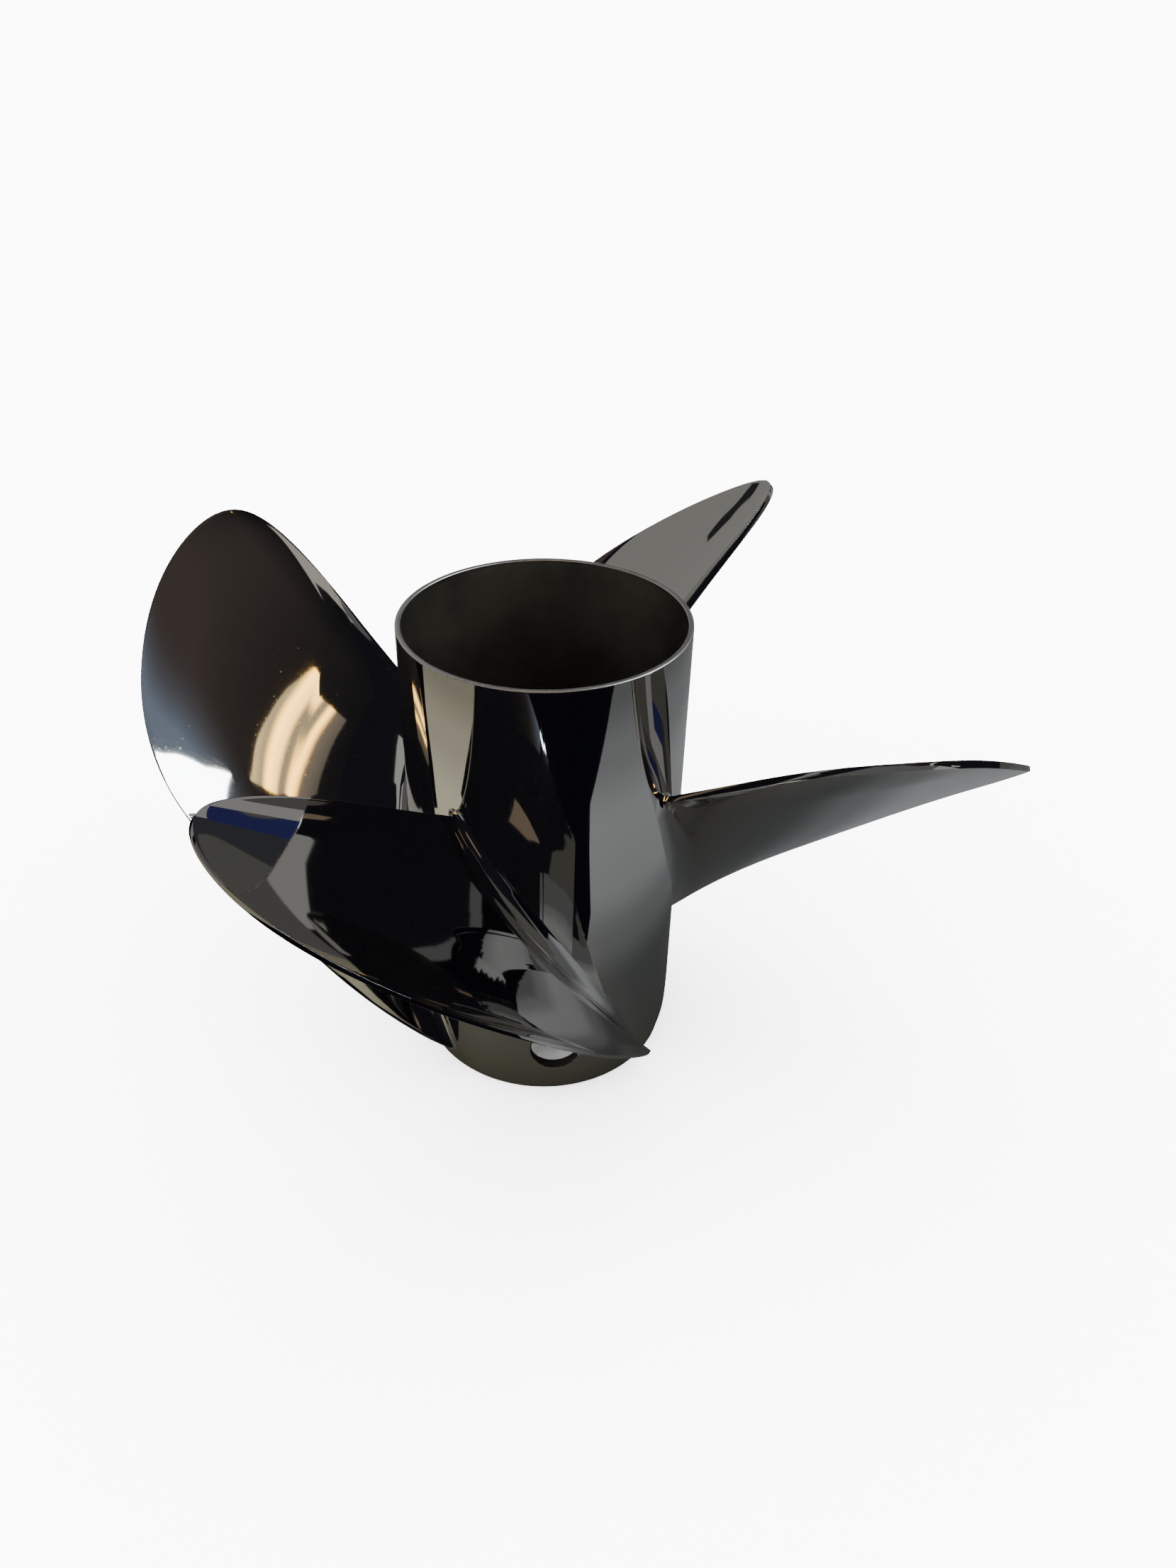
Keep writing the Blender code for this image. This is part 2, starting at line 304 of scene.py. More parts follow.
# %% Rough casting: pits, grain and stains
def make_casting_group():
    group, entry, leave = start_group(
        "rough_casting",
        [
            ("Vector", "NodeSocketVector", None),
            ("Grain Scale", "NodeSocketFloat", 420.0),
            ("Depth", "NodeSocketFloat", 0.0003),
        ],
        [
            ("Stain", "NodeSocketFloat"),
            ("Pits", "NodeSocketFloat"),
            ("Normal", "NodeSocketVector"),
        ],
    )
    links = group.links
    grain = add_node(group, "ShaderNodeTexNoise")
    grain.inputs["Detail"].default_value = 6.0
    links.new(entry.outputs["Vector"], grain.inputs["Vector"])
    links.new(entry.outputs["Grain Scale"], grain.inputs["Scale"])
    pits = add_node(group, "ShaderNodeTexVoronoi")
    pits.inputs["Scale"].default_value = 150.0
    pits.inputs["Randomness"].default_value = 1.0
    links.new(entry.outputs["Vector"], pits.inputs["Vector"])
    pit_mask = stretch_range(group, pits.outputs["Distance"], 0.06, 0.20, 0.0, 1.0)
    stain = add_node(group, "ShaderNodeTexNoise")
    stain.inputs["Scale"].default_value = 18.0
    stain.inputs["Detail"].default_value = 4.0
    links.new(entry.outputs["Vector"], stain.inputs["Vector"])
    depth = add_node(group, "ShaderNodeMath", operation="ADD")
    links.new(grain.outputs[0], depth.inputs[0])
    links.new(pit_mask, depth.inputs[1])
    bump = add_node(group, "ShaderNodeBump")
    bump.inputs["Strength"].default_value = 0.8
    links.new(entry.outputs["Depth"], bump.inputs["Distance"])
    links.new(depth.outputs[0], bump.inputs["Height"])
    links.new(stretch_range(group, stain.outputs[0], 0.35, 0.65, 0.0, 1.0), leave.inputs["Stain"])
    links.new(pit_mask, leave.inputs["Pits"])
    links.new(bump.outputs["Normal"], leave.inputs["Normal"])
    return group


CASTING = make_casting_group()
print("group:", CASTING.name)

# %% [markdown]
# The materials themselves
#
# Steel is metallic all through, so what differs from place to place is how fine the surface
# is. The blades and the outside are a mirror. The nose is brushed satin with an olive cast,
# the rim has been cut on a lathe, and the inside is as the mould left it.


# %% Start a metal
def start_metal(name, colour, metallic, roughness):
    """A material with a Principled shader whose plain values are on its own sockets."""
    material = bpy.data.materials.new(name)
    material.use_nodes = True
    tree = material.node_tree
    shader = tree.nodes["Principled BSDF"]
    shader.inputs["Base Color"].default_value = (*colour, 1.0)
    shader.inputs["Metallic"].default_value = metallic
    shader.inputs["Roughness"].default_value = roughness
    place = add_node(tree, "ShaderNodeTexCoord")
    return material, tree, shader, place.outputs["Object"]


def two_colours(tree, mask, first, second):
    """A node that mixes two colours by a mask."""
    mix = add_node(tree, "ShaderNodeMix", data_type="RGBA")
    mix.inputs["A"].default_value = (*first, 1.0)
    mix.inputs["B"].default_value = (*second, 1.0)
    tree.links.new(mask, mix.inputs["Factor"])
    return mix.outputs["Result"]


# %% Polished, satin and cast steel
def polished(name, colour, least, wave_depth, marks):
    material, tree, shader, place = start_metal(name, colour, 1.0, least)
    group = add_node(tree, "ShaderNodeGroup", node_tree=POLISH)
    group.inputs["Least Roughness"].default_value = least
    group.inputs["Wave Depth"].default_value = wave_depth
    group.inputs["Marks"].default_value = marks
    tree.links.new(place, group.inputs["Vector"])
    tree.links.new(group.outputs["Roughness"], shader.inputs["Roughness"])
    tree.links.new(group.outputs["Normal"], shader.inputs["Normal"])
    return material


def as_cast(name, dark, light, grain, depth, least, most):
    material, tree, shader, place = start_metal(name, dark, 1.0, most)
    group = add_node(tree, "ShaderNodeGroup", node_tree=CASTING)
    group.inputs["Grain Scale"].default_value = grain
    group.inputs["Depth"].default_value = depth
    tree.links.new(place, group.inputs["Vector"])
    colour = two_colours(tree, group.outputs["Stain"], dark, light)
    tree.links.new(colour, shader.inputs["Base Color"])
    rough = stretch_range(tree, group.outputs["Stain"], 0.0, 1.0, least, most)
    tree.links.new(rough, shader.inputs["Roughness"])
    tree.links.new(group.outputs["Normal"], shader.inputs["Normal"])
    return material


MIRROR = polished("mirror_steel", (0.66, 0.65, 0.63), 0.035, 0.00005, 0.6)
RIM = polished("turned_rim", (0.56, 0.55, 0.53), 0.30, 0.00002, 1.0)
NOSE = polished("satin_nose", (0.68, 0.66, 0.575), 0.11, 0.00006, 1.0)
INSIDE = as_cast("cast_inside", (0.05, 0.047, 0.040), (0.085, 0.078, 0.064), 900.0, 0.00012, 0.45, 0.60)
INSIDE.node_tree.nodes["Principled BSDF"].inputs["Metallic"].default_value = 0.97
RIM.node_tree.nodes["Principled BSDF"].inputs["Metallic"].default_value = 0.988
HUB = as_cast("cast_hub", (0.055, 0.050, 0.045), (0.09, 0.082, 0.07), 380.0, 0.0003, 0.40, 0.55)
HUB.node_tree.nodes["Principled BSDF"].inputs["Metallic"].default_value = 0.97
BRASS = as_cast("machined_brass", (0.50, 0.38, 0.17), (0.58, 0.45, 0.22), 900.0, 0.00002, 0.25, 0.38)
RUBBER = as_cast("black_rubber", (0.011, 0.011, 0.011), (0.02, 0.02, 0.019), 600.0, 0.00008, 0.6, 0.8)
RUBBER.node_tree.nodes["Principled BSDF"].inputs["Metallic"].default_value = 0.0
print("materials:", [material.name for material in bpy.data.materials])

# %% [markdown]
# The barrel
#
# On the real propeller the barrel is turned after casting, so a spin makes its skin. Each
# corner of the outline then gets its own round: a fine one at the rim, a soft one where the
# nose turns in. The vents are cut with a rod whose mouth flares, because the real holes have
# a broken edge that catches a thin line of light.

# %% Spin the barrel and round its corners
BARREL_STEPS = 256


def ring_edges(bm, radius, height):
    """The edges of one ring of the barrel, found by its radius and height."""
    found = []
    for edge in bm.edges:
        points = [vert.co for vert in edge.verts]
        near = [
            abs(point.xy.length - radius) < 1e-6 and abs(point.z - height) < 1e-6
            for point in points
        ]
        if all(near):
            found.append(edge)
    return found


def make_barrel_shell():
    outer = [(radius, height) for radius, height, _ in BARREL_OUTSIDE]
    inner = [
        (BARREL_AFT_RADIUS - BARREL_AFT_WALL, BARREL_LENGTH),
        (INNER_FORWARD_RADIUS, NOSE_TOP),
        (NOSE_INNER_RADIUS, 0.0),
    ]
    rounds = list(BARREL_OUTSIDE) + [(*inner[0], 0.0005), (*inner[2], 0.0006)]
    bm = spin_outline(outer + inner, BARREL_STEPS)
    for radius, height, width in rounds:
        round_edges(bm, ring_edges(bm, radius, height), width, 5)
    return bm


shell = make_barrel_shell()
print("barrel shell:", len(shell.faces), "faces")


# %% Cut the vents with a flared rod
def make_vent_rod(number):
    """A rod along a radius, a little wider where it leaves the barrel's skin."""
    surface = float(barrel_radius(VENT_HEIGHT))
    outline = (
        (0.0, -0.012),
        (VENT_RADIUS, -0.012),
        (VENT_RADIUS, -0.0007),
        (VENT_RADIUS + 0.0003, -0.0002),
        (VENT_RADIUS + 0.0009, 0.0003),
        (VENT_RADIUS + 0.0009, 0.006),
        (0.0, 0.006),
    )
    bm = bmesh.new()
    verts = [bm.verts.new((radius, 0.0, depth)) for radius, depth in outline]
    edges = [bm.edges.new(pair) for pair in zip(verts, verts[1:])]
    bmesh.ops.spin(
        bm,
        geom=verts + edges,
        cent=(0.0, 0.0, 0.0),
        axis=(0.0, 0.0, 1.0),
        angle=math.tau,
        steps=72,
        use_merge=True,
        use_duplicate=False,
    )
    bmesh.ops.remove_doubles(bm, verts=bm.verts, dist=1e-6)
    bmesh.ops.recalc_face_normals(bm, faces=bm.faces)
    turn = Matrix.Rotation(math.radians(VENT_ANGLE + 90.0 * number), 4, "Z")
    for vert in bm.verts:
        sag = surface - math.sqrt(surface ** 2 - vert.co.y ** 2)
        placed = Vector((surface - sag + vert.co.z, vert.co.y, VENT_HEIGHT - vert.co.x))
        vert.co = turn @ placed
    bmesh.ops.recalc_face_normals(bm, faces=bm.faces)
    return bm


def to_object(name, bm):
    mesh = bpy.data.meshes.new(name)
    bm.to_mesh(mesh)
    bm.free()
    obj = bpy.data.objects.new(name, mesh)
    bpy.context.scene.collection.objects.link(obj)
    return obj


def cut_away(solid, cutters):
    """The solid less its cutters, as a bmesh; all the objects are removed."""
    for cutter in cutters:
        cut = solid.modifiers.new("cut", "BOOLEAN")
        cut.operation = "DIFFERENCE"
        cut.object = cutter
    graph = bpy.context.evaluated_depsgraph_get()
    graph.update()
    result = bmesh.new()
    result.from_object(solid, graph)
    for obj in [solid, *cutters]:
        bpy.data.objects.remove(obj, do_unlink=True)
    return result


rods = [to_object(f"rod_{number}", make_vent_rod(number)) for number in range(BLADE_COUNT)]
barrel_mesh = cut_away(to_object("shell", shell), rods)
print("barrel with vents:", len(barrel_mesh.faces), "faces")

# %% Give each part of the barrel its finish and place it
OUTSIDE_SLOT, INSIDE_SLOT, RIM_SLOT, NOSE_SLOT = range(4)


def barrel_finish(face):
    """Which finish a face of the barrel takes, from where it is and how it faces."""
    centre = face.calc_center_median()
    outward = face.normal.xy.dot(centre.xy.normalized())
    if centre.z > BARREL_LENGTH - 0.0008 and face.normal.z > 0.2:
        return RIM_SLOT
    if outward < -0.3 or centre.xy.length < barrel_radius(centre.z) - 0.0012:
        return INSIDE_SLOT
    return NOSE_SLOT if centre.z < NOSE_TOP else OUTSIDE_SLOT


for face in barrel_mesh.faces:
    face.material_index = barrel_finish(face)
finish_piece(
    "barrel_skin", barrel_mesh, "barrel", [MIRROR, INSIDE, RIM, NOSE]
)

# %% [markdown]
# The blades
#
# A blade is a swept, twisted surface that is thick at its root and thin at its leading edge.
# A grid is the natural start: its rows run from root to tip and its columns from the trailing
# to the leading edge. Extruding it gives the two sides at once, and each point then moves to
# its place on the real surface. The edges are bevelled last, blunt behind and fine in front.

# %% The middle surface of a blade
TIP_ARC = 0.34
TIP_BLEND = 3.0


def smooth_curve(values, at):
    """Natural cubic spline through even steps from -1 to 1, read at many places."""
    values = np.asarray(values)
    count = len(values)
    step = 2.0 / (count - 1)
    system = np.eye(count)
    right = np.zeros(count)
    for row in range(1, count - 1):
        system[row, row - 1:row + 2] = (1.0, 4.0, 1.0)
        right[row] = 6.0 * (values[row - 1] - 2.0 * values[row] + values[row + 1]) / step ** 2
    bend = np.linalg.solve(system, right)
    left = np.clip(((at + 1.0) / step).astype(int), 0, count - 2)
    t = (at + 1.0) / step - left
    s = 1.0 - t
    curve = ((s ** 3 - s) * bend[left] + (t ** 3 - t) * bend[left + 1]) * step ** 2 / 6.0
    return s * values[left] + t * values[left + 1] + curve


def outline_at(place):
    """Radius, angle and height on the outline, one row for each place."""
    degrees = smooth_curve([row[0] for row in BLADE_OUTLINE], place)
    height = smooth_curve([row[1] for row in BLADE_OUTLINE], place)
    radius = TIP_RADIUS - (TIP_RADIUS - barrel_radius(height)) * place ** 2
    return np.stack([radius, degrees, height], axis=-1)


def middle_surface(chord, span):
    """Points of the middle surface; chord 0 is the trailing edge and span 0 the root."""
    place = 1.0 - (1.0 - TIP_ARC) * span
    along = chord[:, None]
    trailing, leading = outline_at(-place), outline_at(place)
    straight = trailing * (1.0 - along) + leading * along
    tip = np.full_like(chord, TIP_ARC)
    end = outline_at(-tip) * (1.0 - along) + outline_at(tip) * along
    arc = outline_at(TIP_ARC * (2.0 * chord - 1.0))
    radius, degrees, height = (straight + (arc - end) * span[:, None] ** TIP_BLEND).T
    angle = np.radians(degrees)
    return np.stack([radius * np.cos(angle), radius * np.sin(angle), height], axis=-1)


def unit(vectors):
    return vectors / np.linalg.norm(vectors, axis=-1, keepdims=True)


def surface_frame(chord, span):
    """Directions along the chord and square to the surface, one pair for each point."""
    step, inset = 0.004, 0.04
    chord = np.clip(chord, inset, 1.0 - inset)
    span = np.clip(span, step, 1.0 - inset)
    along = middle_surface(chord + step, span) - middle_surface(chord - step, span)
    across = middle_surface(chord, span + step) - middle_surface(chord, span - step)
    normal = unit(np.cross(along, across))
    normal *= np.where(normal[:, 2:] > 0.0, 1.0, -1.0)
    return unit(along), normal


# %% Thickness, bow and root fillet of a blade
ROOT_THICKNESS = 0.0085
TIP_THICKNESS = 0.0034
TRAILING_EDGE = 0.0028
LEADING_EDGE = 0.0012
ROOT_TO_TIP_FADE = 1.3
SECTION_FULLNESS = 0.8
TIP_FADE = 6
CAMBER = 0.0040
CUP_DEPTH = 0.0022
CUP_WIDTH = 0.12
CUP_START = 3.0


def blade_thickness(chord, span):
    middle = TIP_THICKNESS + (ROOT_THICKNESS - TIP_THICKNESS) * (1.0 - span) ** ROOT_TO_TIP_FADE
    edge = TRAILING_EDGE + (LEADING_EDGE - TRAILING_EDGE) * chord
    swell = np.sin(np.pi * chord) ** SECTION_FULLNESS * (1.0 - span ** TIP_FADE)
    return edge + (middle - edge) * swell


def blade_bow(chord, span):
    """How far the middle of a section lies forward of its edges, with the cup behind."""
    camber = CAMBER * 4.0 * chord * (1.0 - chord)
    lip = np.clip(1.0 - chord / CUP_WIDTH, 0.0, 1.0)
    cup = CUP_DEPTH * (1.0 - lip ** 2) * (1.0 - chord) * np.minimum(1.0, CUP_START * span)
    return (camber + cup) * (1.0 - span ** TIP_FADE)


FILLET_TRAILING, FILLET_MIDDLE, FILLET_LEADING = 0.0055, 0.0090, 0.0022
SEAT_DEPTH = 0.0003


def fillet_radius(chord):
    """Round between blade and barrel: wide at mid chord, fine at the leading edge."""
    return np.interp(chord, (0.0, 0.25, 0.8, 1.0),
                     (FILLET_TRAILING, FILLET_MIDDLE, FILLET_MIDDLE * 0.8, FILLET_LEADING))


def blade_places(chord, span, side):
    """Where every point of the blade's skin lies; side is 1 on the aft face, -1 forward."""
    middle = middle_surface(chord, span)
    along, normal = surface_frame(chord, span)
    height_over = np.hypot(middle[:, 0], middle[:, 1]) - barrel_radius(middle[:, 2])
    half = (blade_thickness(chord, span) / 2.0 * side)[:, None]
    skin = middle - normal * blade_bow(chord, span)[:, None] + normal * half
    size = fillet_radius(chord)
    rise = np.clip(size - height_over, 0.0, size)
    spread = size - np.sqrt(np.maximum(size ** 2 - rise ** 2, 0.0))
    outward = middle * (1.0, 1.0, 0.0)
    outward = unit(outward)
    sideways = unit(normal - outward * np.sum(normal * outward, axis=1, keepdims=True))
    endways = unit(along - outward * np.sum(along * outward, axis=1, keepdims=True))
    past = np.clip(1.0 - chord / 0.05, 0.0, 1.0) - np.clip(1.0 - (1.0 - chord) / 0.04, 0.0, 1.0)
    turn = past * np.pi / 2.0
    skin = skin + sideways * (side * spread * np.cos(turn))[:, None]
    skin = skin - endways * (spread * np.sin(turn))[:, None]
    hold = smooth_step((1.6 * size - height_over) / size)
    reach = np.hypot(skin[:, 0], skin[:, 1])
    low = np.maximum(skin[:, 2], 0.0008)
    sunk = SEAT_DEPTH * rise / size
    wanted = barrel_radius(low) + height_over - sunk
    scale = 1.0 + hold * (wanted / reach - 1.0)
    return np.stack([skin[:, 0] * scale, skin[:, 1] * scale, low], axis=-1)


# %% Make one blade from a grid, and the others by turning it
CHORD_STEPS = 120
SPAN_STEPS = 96
ROOT_CROWDING = 1.5
EDGE_ROUND = 0.00045


def on_both_sides(face, grid_verts):
    """Whether a face joins the two sides of the blade."""
    return len({vert in grid_verts for vert in face.verts}) == 2


def make_blade_skin(number):
    bm = bmesh.new()
    bmesh.ops.create_grid(bm, x_segments=CHORD_STEPS, y_segments=SPAN_STEPS, size=1.0)
    grid_verts = set(bm.verts)
    bmesh.ops.extrude_face_region(bm, geom=bm.faces[:], use_keep_orig=True)
    verts = list(bm.verts)
    chord = np.array([(vert.co.x + 1.0) / 2.0 for vert in verts])
    share = np.array([(vert.co.y + 1.0) / 2.0 for vert in verts])
    side = np.array([-1.0 if vert in grid_verts else 1.0 for vert in verts])
    on_rim = {
        vert for vert in verts
        if abs(vert.co.x) > 1.0 - 1e-5 or vert.co.y > 1.0 - 1e-5
    }
    rim_edges = [
        edge for edge in bm.edges
        if all(vert in on_rim for vert in edge.verts)
        and (edge.verts[0] in grid_verts) == (edge.verts[1] in grid_verts)
        and any(on_both_sides(face, grid_verts) for face in edge.link_faces)
    ]
    places = blade_places(chord, share ** ROOT_CROWDING, side)
    for vert, place in zip(verts, places):
        vert.co = place
    bmesh.ops.recalc_face_normals(bm, faces=bm.faces)
    round_edges(bm, rim_edges, EDGE_ROUND, 3)
    turn = Matrix.Rotation(math.tau / BLADE_COUNT * number, 3, "Z")
    bmesh.ops.rotate(bm, verts=bm.verts, cent=(0.0, 0.0, 0.0), matrix=turn)
    return bm


for number in range(BLADE_COUNT):
    finish_piece(
        f"blade_skin_{number + 1}",
        make_blade_skin(number),
        f"blade_{number + 1}",
        [MIRROR],
    )

# %% [markdown]
# The drive hub inside
#
# The hub, its webs, the rubber bush and the splined sleeve sit deep in the barrel. Their
# solids already have the right shape, so they only need their own finishes.

# %% Dress the hidden pieces
def dress(node, material):
    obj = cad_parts[node]
    obj.data.materials.clear()
    obj.data.materials.append(material)


dress("inner_hub", HUB)
dress("rubber_bush", RUBBER)
dress("splined_sleeve", BRASS)
for number in range(4):
    dress(f"rib_{number + 1}", HUB)
print("dressed:", 7, "solids")

# %% [markdown]
# The floor and the surroundings
#
# Polished steel looks like whatever stands around it. The photograph's metal is nearly black
# with a few hard bright shapes, so the room is black to the reflections and pale to the eye,
# and the floor is darker in the reflections than it looks, with painted shade round the propeller.

# %% Floor and surroundings
FLOOR_SIZE = 14.0
DAYLIGHT = 13.0
PALE = (0.90, 0.90, 0.90)
ROOM_IN_STEEL = (0.0008, 0.0008, 0.0011)
# Painted light in the mirrored floor: lighter and warmer on the left, darker and cooler on the right
FLOOR_LEFT_IN_STEEL = (0.056, 0.053, 0.040)
FLOOR_RIGHT_IN_STEEL = (0.026, 0.027, 0.028)

# How bright the mirrored floor is on the way out from the propeller, as painted shade: dark close
# in where the propeller shades it, brightest a little way out, dimmer far off: metres, then share
FLOOR_PAINTED_SHADE_REACH = 0.5
FLOOR_PAINTED_SHADE = ((0.0, 0.30), (0.11, 0.34), (0.15, 0.60), (0.20, 0.95), (0.27, 0.95), (0.38, 0.62), (0.5, 0.38))


def link_stage(name, bm, material):
    obj = to_object(name, bm)
    obj.data.materials.append(material)
    return obj


def pale_to_the_eye(tree, mirrored):
    """Pale to the camera and to soft light, and another colour to the reflections."""
    path = add_node(tree, "ShaderNodeLightPath")
    mix = add_node(tree, "ShaderNodeMix", data_type="RGBA")
    mix.inputs["A"].default_value = (*PALE, 1.0)
    tree.links.new(path.outputs["Is Glossy Ray"], mix.inputs["Factor"])
    if isinstance(mirrored, tuple):
        mix.inputs["B"].default_value = (*mirrored, 1.0)
    else:
        tree.links.new(mirrored, mix.inputs["B"])
    return mix.outputs["Result"]


def along_axis(tree, axis, low, high):
    """A mask that runs from 0 to 1 between two places on one axis, in metres."""
    place = add_node(tree, "ShaderNodeTexCoord")
    split = add_node(tree, "ShaderNodeSeparateXYZ")
    tree.links.new(place.outputs["Object"], split.inputs[0])
    return stretch_range(tree, split.outputs[axis], low, high, 0.0, 1.0)


def colour_ramp(tree, value, stops):
    """A colour for each value from 0 to 1, eased between its stops."""
    ramp = add_node(tree, "ShaderNodeValToRGB")
    ramp.color_ramp.interpolation = "EASE"
    for _ in range(len(stops) - 2):
        ramp.color_ramp.elements.new(0.5)
    for element, (position, colour) in zip(ramp.color_ramp.elements, stops):
        element.position = position
        element.color = (*colour, 1.0)
    tree.links.new(value, ramp.inputs[0])
    return ramp.outputs[0]


floor_material = bpy.data.materials.new("pale_floor")
floor_material.use_nodes = True
floor_tree = floor_material.node_tree
floor_shader = floor_tree.nodes["Principled BSDF"]
floor_shader.inputs["Roughness"].default_value = 0.9
floor_shader.inputs["Specular IOR Level"].default_value = 0.0
# Painted light: the mirrored floor blends from its lighter left colour to its darker right one
floor_side = along_axis(floor_tree, "X", -0.12, 0.10)
floor_tint = two_colours(floor_tree, floor_side, FLOOR_LEFT_IN_STEEL, FLOOR_RIGHT_IN_STEEL)
floor_place = add_node(floor_tree, "ShaderNodeTexCoord")
floor_reach = add_node(floor_tree, "ShaderNodeVectorMath", operation="LENGTH")
floor_tree.links.new(floor_place.outputs["Object"], floor_reach.inputs[0])
floor_share = stretch_range(floor_tree, floor_reach.outputs["Value"], 0.0, FLOOR_PAINTED_SHADE_REACH, 0.0, 1.0)
# Painted shade: the floor the steel mirrors is darkened close to the propeller and far off
floor_painted_shade = colour_ramp(
    floor_tree, floor_share, [(reach / FLOOR_PAINTED_SHADE_REACH, (share,) * 3) for reach, share in FLOOR_PAINTED_SHADE]
)
floor_mirrored = add_node(floor_tree, "ShaderNodeMix", data_type="RGBA", blend_type="MULTIPLY")
floor_mirrored.inputs["Factor"].default_value = 1.0
floor_tree.links.new(floor_tint, floor_mirrored.inputs["A"])
floor_tree.links.new(floor_painted_shade, floor_mirrored.inputs["B"])
floor_colour = pale_to_the_eye(floor_tree, floor_mirrored.outputs["Result"])
floor_tree.links.new(floor_colour, floor_shader.inputs["Base Color"])
floor_mesh = bmesh.new()
bmesh.ops.create_grid(floor_mesh, x_segments=1, y_segments=1, size=FLOOR_SIZE)
link_stage("floor", floor_mesh, floor_material)

world = bpy.data.worlds.new("studio")
bpy.context.scene.world = world
world.use_nodes = True
sky = world.node_tree
sky_colour = pale_to_the_eye(sky, ROOM_IN_STEEL)
sky.links.new(sky_colour, sky.nodes["Background"].inputs["Color"])
sky.nodes["Background"].inputs["Strength"].default_value = DAYLIGHT
print("floor and surroundings are in place")

# %% [markdown]
# Cards for the steel to mirror
#
# Each bright or dark shape on the steel is a painted reflection: a mirrored thing in the room,
# such as a window, a lit ceiling, a strip of wall. A flat card stands where each of them was.
# The cards glow evenly, and only reflections see them, so they paint the light and dark on the
# steel and leave the floor plain.


# %% A helper for cards
def glow(name, colour, strength=1.0):
    """A material that only glows."""
    material = bpy.data.materials.new(name)
    material.use_nodes = True
    tree = material.node_tree
    tree.nodes.remove(tree.nodes["Principled BSDF"])
    light = add_node(tree, "ShaderNodeEmission")
    light.inputs["Color"].default_value = (*colour, 1.0)
    light.inputs["Strength"].default_value = strength
    tree.links.new(light.outputs[0], tree.nodes["Material Output"].inputs["Surface"])
    return material, tree, light


def card(name, corners, material):
    """A flat card through its corners, seen by nothing but reflections."""
    bm = bmesh.new()
    bm.faces.new([bm.verts.new(corner) for corner in corners])
    obj = link_stage(name, bm, material)
    obj.visible_camera = False
    obj.visible_diffuse = False
    obj.visible_transmission = False
    obj.visible_volume_scatter = False
    obj.visible_shadow = False
    return obj


def flat(height, corners):
    """The corners of a level card, from places on the floor plan."""
    return [(x, y, height) for x, y in corners]


def upright(distance, corners):
    """The corners of a card that stands behind the propeller, from places across and up."""
    return [(x, distance, z) for x, z in corners]


# %% Cards overhead: the ceiling, the window and the lit curtain
CEILING_HEIGHT = 1.25
CARD_HEIGHT = 1.2


def ceiling_material():
    """Brown above, black toward the front, with a blue haze round the window."""
    material, tree, light = glow("dim_ceiling", (0.0, 0.0, 0.0))
    front = along_axis(tree, "Y", -0.95, -0.15)
    body = two_colours(tree, scale_by(tree, front, front), (0.013, 0.013, 0.014), (0.066, 0.052, 0.046))
    place = add_node(tree, "ShaderNodeTexCoord")
    apart = add_node(tree, "ShaderNodeVectorMath", operation="DISTANCE")
    apart.inputs[1].default_value = (0.75, 0.10, CEILING_HEIGHT)
    tree.links.new(place.outputs["Object"], apart.inputs[0])
    near = stretch_range(tree, apart.outputs["Value"], 0.66, 0.20, 0.0, 1.0)
    haze = add_node(tree, "ShaderNodeMix", data_type="RGBA", blend_type="ADD")
    tree.links.new(scale_by(tree, near, near), haze.inputs["Factor"])
    tree.links.new(body, haze.inputs["A"])
    haze.inputs["B"].default_value = (0.13, 0.19, 0.27, 1.0)
    tree.links.new(haze.outputs["Result"], light.inputs["Color"])
    return material


def curtain_material():
    """Tan cloth with two lit folds, painted as bright bands with painted shade between, that run the length
    of the card.
    """
    material, tree, light = glow("lit_curtain", (0.0, 0.0, 0.0), 10.0)
    place = add_node(tree, "ShaderNodeTexCoord")
    along = add_node(tree, "ShaderNodeVectorMath", operation="DOT_PRODUCT")
    along.inputs[1].default_value = (0.2, -1.0, 0.0)
    tree.links.new(place.outputs["Object"], along.inputs[0])
    across = stretch_range(tree, along.outputs["Value"], 0.455, 0.75, 0.0, 1.0)
    folds = colour_ramp(tree, across, (
        (0.00, (0.150, 0.110, 0.055)),
        (0.11, (0.080, 0.065, 0.038)),
        (0.21, (0.800, 0.440, 0.085)),
        (0.30, (0.560, 0.330, 0.085)),
        (0.38, (0.050, 0.042, 0.028)),
        (0.44, (0.060, 0.050, 0.032)),
        (0.52, (0.760, 0.420, 0.085)),
        (0.64, (0.026, 0.022, 0.017)),
        (1.00, (0.015, 0.013, 0.010)),
    ))
    tree.links.new(folds, light.inputs["Color"])
    return material


WINDOW, _, _ = glow("window_glow", (0.92, 1.0, 1.0), 16.0)
ROOT_STRIP, _, _ = glow("strip_glow", (0.42, 0.41, 0.38))
# Painted highlight in the cup of the left blade
CUP_HIGHLIGHT, _, _ = glow("cup_highlight_glow", (0.47, 0.45, 0.40))

card("ceiling", flat(CEILING_HEIGHT, ((-2.2, -0.9), (0.9, -0.9), (0.9, 0.45), (-2.2, 0.45))),
     ceiling_material())
card("curtain", flat(CARD_HEIGHT, (
    (-0.34, -0.57), (-0.38, -0.78), (-0.17, -0.75), (0.05, -0.72), (0.24, -0.51),
    (0.34, -0.37), (0.29, -0.39), (0.13, -0.43), (0.0, -0.47), (-0.17, -0.51),
)), curtain_material())
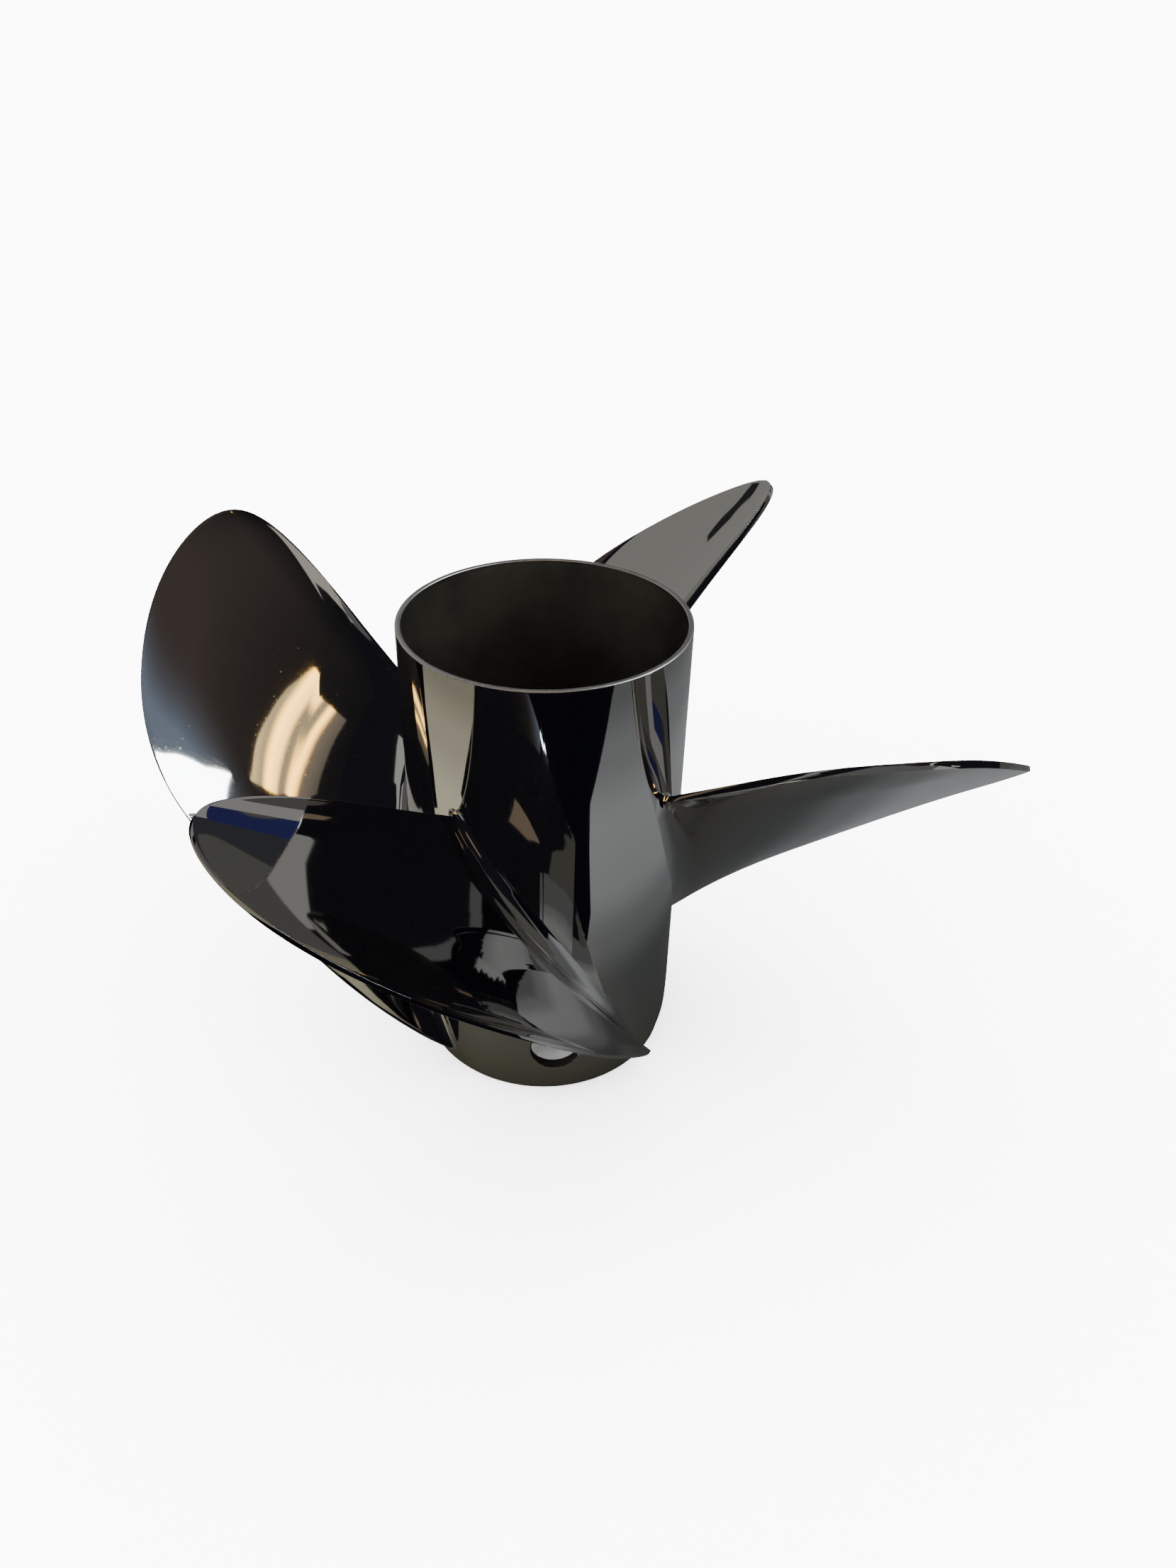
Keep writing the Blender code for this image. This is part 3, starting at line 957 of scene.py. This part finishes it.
# Painted highlight: a card for the thin light strip along the cup of the left blade
card("cup_highlight", flat(CARD_HEIGHT, (
    (-0.98, -0.70), (-1.08, -0.60), (-1.19, -0.62), (-1.40, -0.74), (-1.56, -0.96),
    (-1.48, -1.02), (-1.30, -0.82), (-1.12, -0.70),
)), CUP_HIGHLIGHT)
card("window", flat(CARD_HEIGHT, (
    (0.43, -0.26), (0.57, -0.18), (0.75, -0.08), (1.3, 0.22), (1.3, 0.9), (0.9, 0.6),
    (0.78, 0.36), (0.66, 0.13), (0.56, -0.08),
)), WINDOW)
# Painted highlight: a card for the bright strip on the left blade's root fillet
card("root_strip", flat(CARD_HEIGHT, (
    (-0.72, -1.20), (-0.50, -1.30), (-0.34, -1.36), (-0.40, -1.50), (-0.85, -1.50),
)), ROOT_STRIP)

# %% Cards behind and at the sides: walls
GREY_WALL, _, _ = glow("grey_wall", (0.25, 0.25, 0.235))
FAR_WALL, _, _ = glow("far_wall", (0.085, 0.085, 0.08))
LIGHT_PANEL, _, _ = glow("light_panel", (0.28, 0.28, 0.275))
FRONT_LIGHT, _, _ = glow("front_light", (0.36, 0.36, 0.355))
FRONT_GREY, _, _ = glow("front_grey", (0.12, 0.12, 0.12))
RIGHT_GREY, _, _ = glow("right_grey", (0.095, 0.094, 0.084))
DARK_PANEL, _, _ = glow("dark_panel", (0.020, 0.020, 0.021))
DIM_PANEL, _, _ = glow("dim_panel", (0.035, 0.036, 0.042))
BLUE_PANEL, _, _ = glow("blue_panel", (0.020, 0.022, 0.095))
TAN_PANEL, _, _ = glow("tan_panel", (0.25, 0.19, 0.14))

card("back_left_wall", upright(1.5, ((-0.2, 0.0), (-5.0, 0.0), (-5.0, 4.0), (-0.2, 4.0))), GREY_WALL)
# Painted reflection: a dark card for a dark patch on the steel
card("back_left_mark", upright(1.4, (
    (-0.54, 0.56), (-0.60, 0.55), (-0.64, 0.62), (-0.62, 0.66), (-0.57, 0.64),
)), DARK_PANEL)
card("back_right_wall", ((2.8, 0.7, 0.0), (0.5, 2.8, 0.0), (0.5, 2.8, 3.0), (2.8, 0.7, 3.0)), FAR_WALL)
card("back_right_light", upright(1.20, (
    (0.94, 0.1), (3.6, 0.1), (3.6, 1.2), (1.62, 1.2), (1.60, 0.47), (0.94, 0.47),
)), LIGHT_PANEL)
card("back_right_blue", upright(1.21, ((0.92, 0.45), (1.66, 0.45), (1.66, 0.78), (0.92, 0.76))),
     BLUE_PANEL)
card("back_right_dim", upright(1.22, ((0.68, 0.2), (0.94, 0.2), (0.94, 0.76), (0.68, 0.76))), DIM_PANEL)
card("right_wall", (
    (2.5, -0.85, 0.0), (2.5, 0.7, 0.0), (2.5, 0.7, 1.0), (2.5, -0.36, 0.92), (2.5, -0.55, 0.60),
    (2.5, -0.85, 0.42),
), RIGHT_GREY)
card("front_left_light", (
    (-0.45, -2.45, 1.07), (-0.90, -2.00, 0.84), (-1.29, -1.61, 0.54), (-1.44, -1.46, 0.42),
    (-1.56, -1.34, 0.42), (-1.56, -1.34, 1.40), (-0.45, -2.45, 1.40),
), FRONT_LIGHT)
card("front_left_wall", (
    (-1.56, -1.34, 0.1), (-3.10, 0.20, 0.1), (-3.10, 0.20, 1.4), (-1.56, -1.34, 1.4),
), FRONT_GREY)
card("front_right_tan", (
    (0.90, -1.34, 0.66), (0.92, -1.33, 0.80), (1.10, -1.17, 0.78), (1.22, -1.04, 0.66),
    (1.05, -1.20, 0.60),
), TAN_PANEL)

# %% Painted shade on the mirrored floor: dark cards in front and at the far left
SHADE_CARD_HEIGHT = 0.002
# Painted shade: near-black cards that only reflections see, darkening the floor in the steel
PAINTED_SHADE, _, _ = glow("painted_shade_glow", (0.004, 0.004, 0.007))
card("front_painted_shade", flat(SHADE_CARD_HEIGHT, (
    (-0.27, -0.14), (-0.30, -0.19), (-0.33, -0.25), (-0.5, -0.6), (-0.7, -2.0), (1.8, -2.0),
    (0.9, -0.50), (0.48, -0.345), (0.37, -0.33), (0.23, -0.284), (0.17, -0.262), (0.135, -0.21),
    (0.10, -0.15), (0.075, -0.13), (0.0, -0.15), (-0.1, -0.20),
)), PAINTED_SHADE)
card("left_painted_shade", flat(SHADE_CARD_HEIGHT, (
    (-0.26, -0.02), (-0.32, 0.0), (-0.40, 0.04), (-0.47, 0.06), (-1.6, 0.5), (-1.6, 1.4),
    (-0.2, 1.4), (-0.2, 0.3),
)), PAINTED_SHADE)


# %% Soft lights
def soft_light(name, place, aim, size, power):
    data = bpy.data.lights.new(name, "AREA")
    data.shape = "RECTANGLE"
    data.size, data.size_y = size
    data.energy = power
    light = bpy.data.objects.new(name, data)
    bpy.context.scene.collection.objects.link(light)
    turn = (Vector(place) - Vector(aim)).to_track_quat("Z", "Y").to_matrix().to_4x4()
    light.matrix_world = Matrix.Translation(place) @ turn
    light.visible_camera = False
    light.visible_glossy = False
    return light


soft_light("left_softbox", (-1.6, -0.7, 1.2), (0.0, 0.0, 0.1), (1.2, 1.2), 40.0)
soft_light("right_softbox", (1.5, -0.9, 1.0), (0.0, 0.0, 0.1), (1.2, 1.2), 20.0)
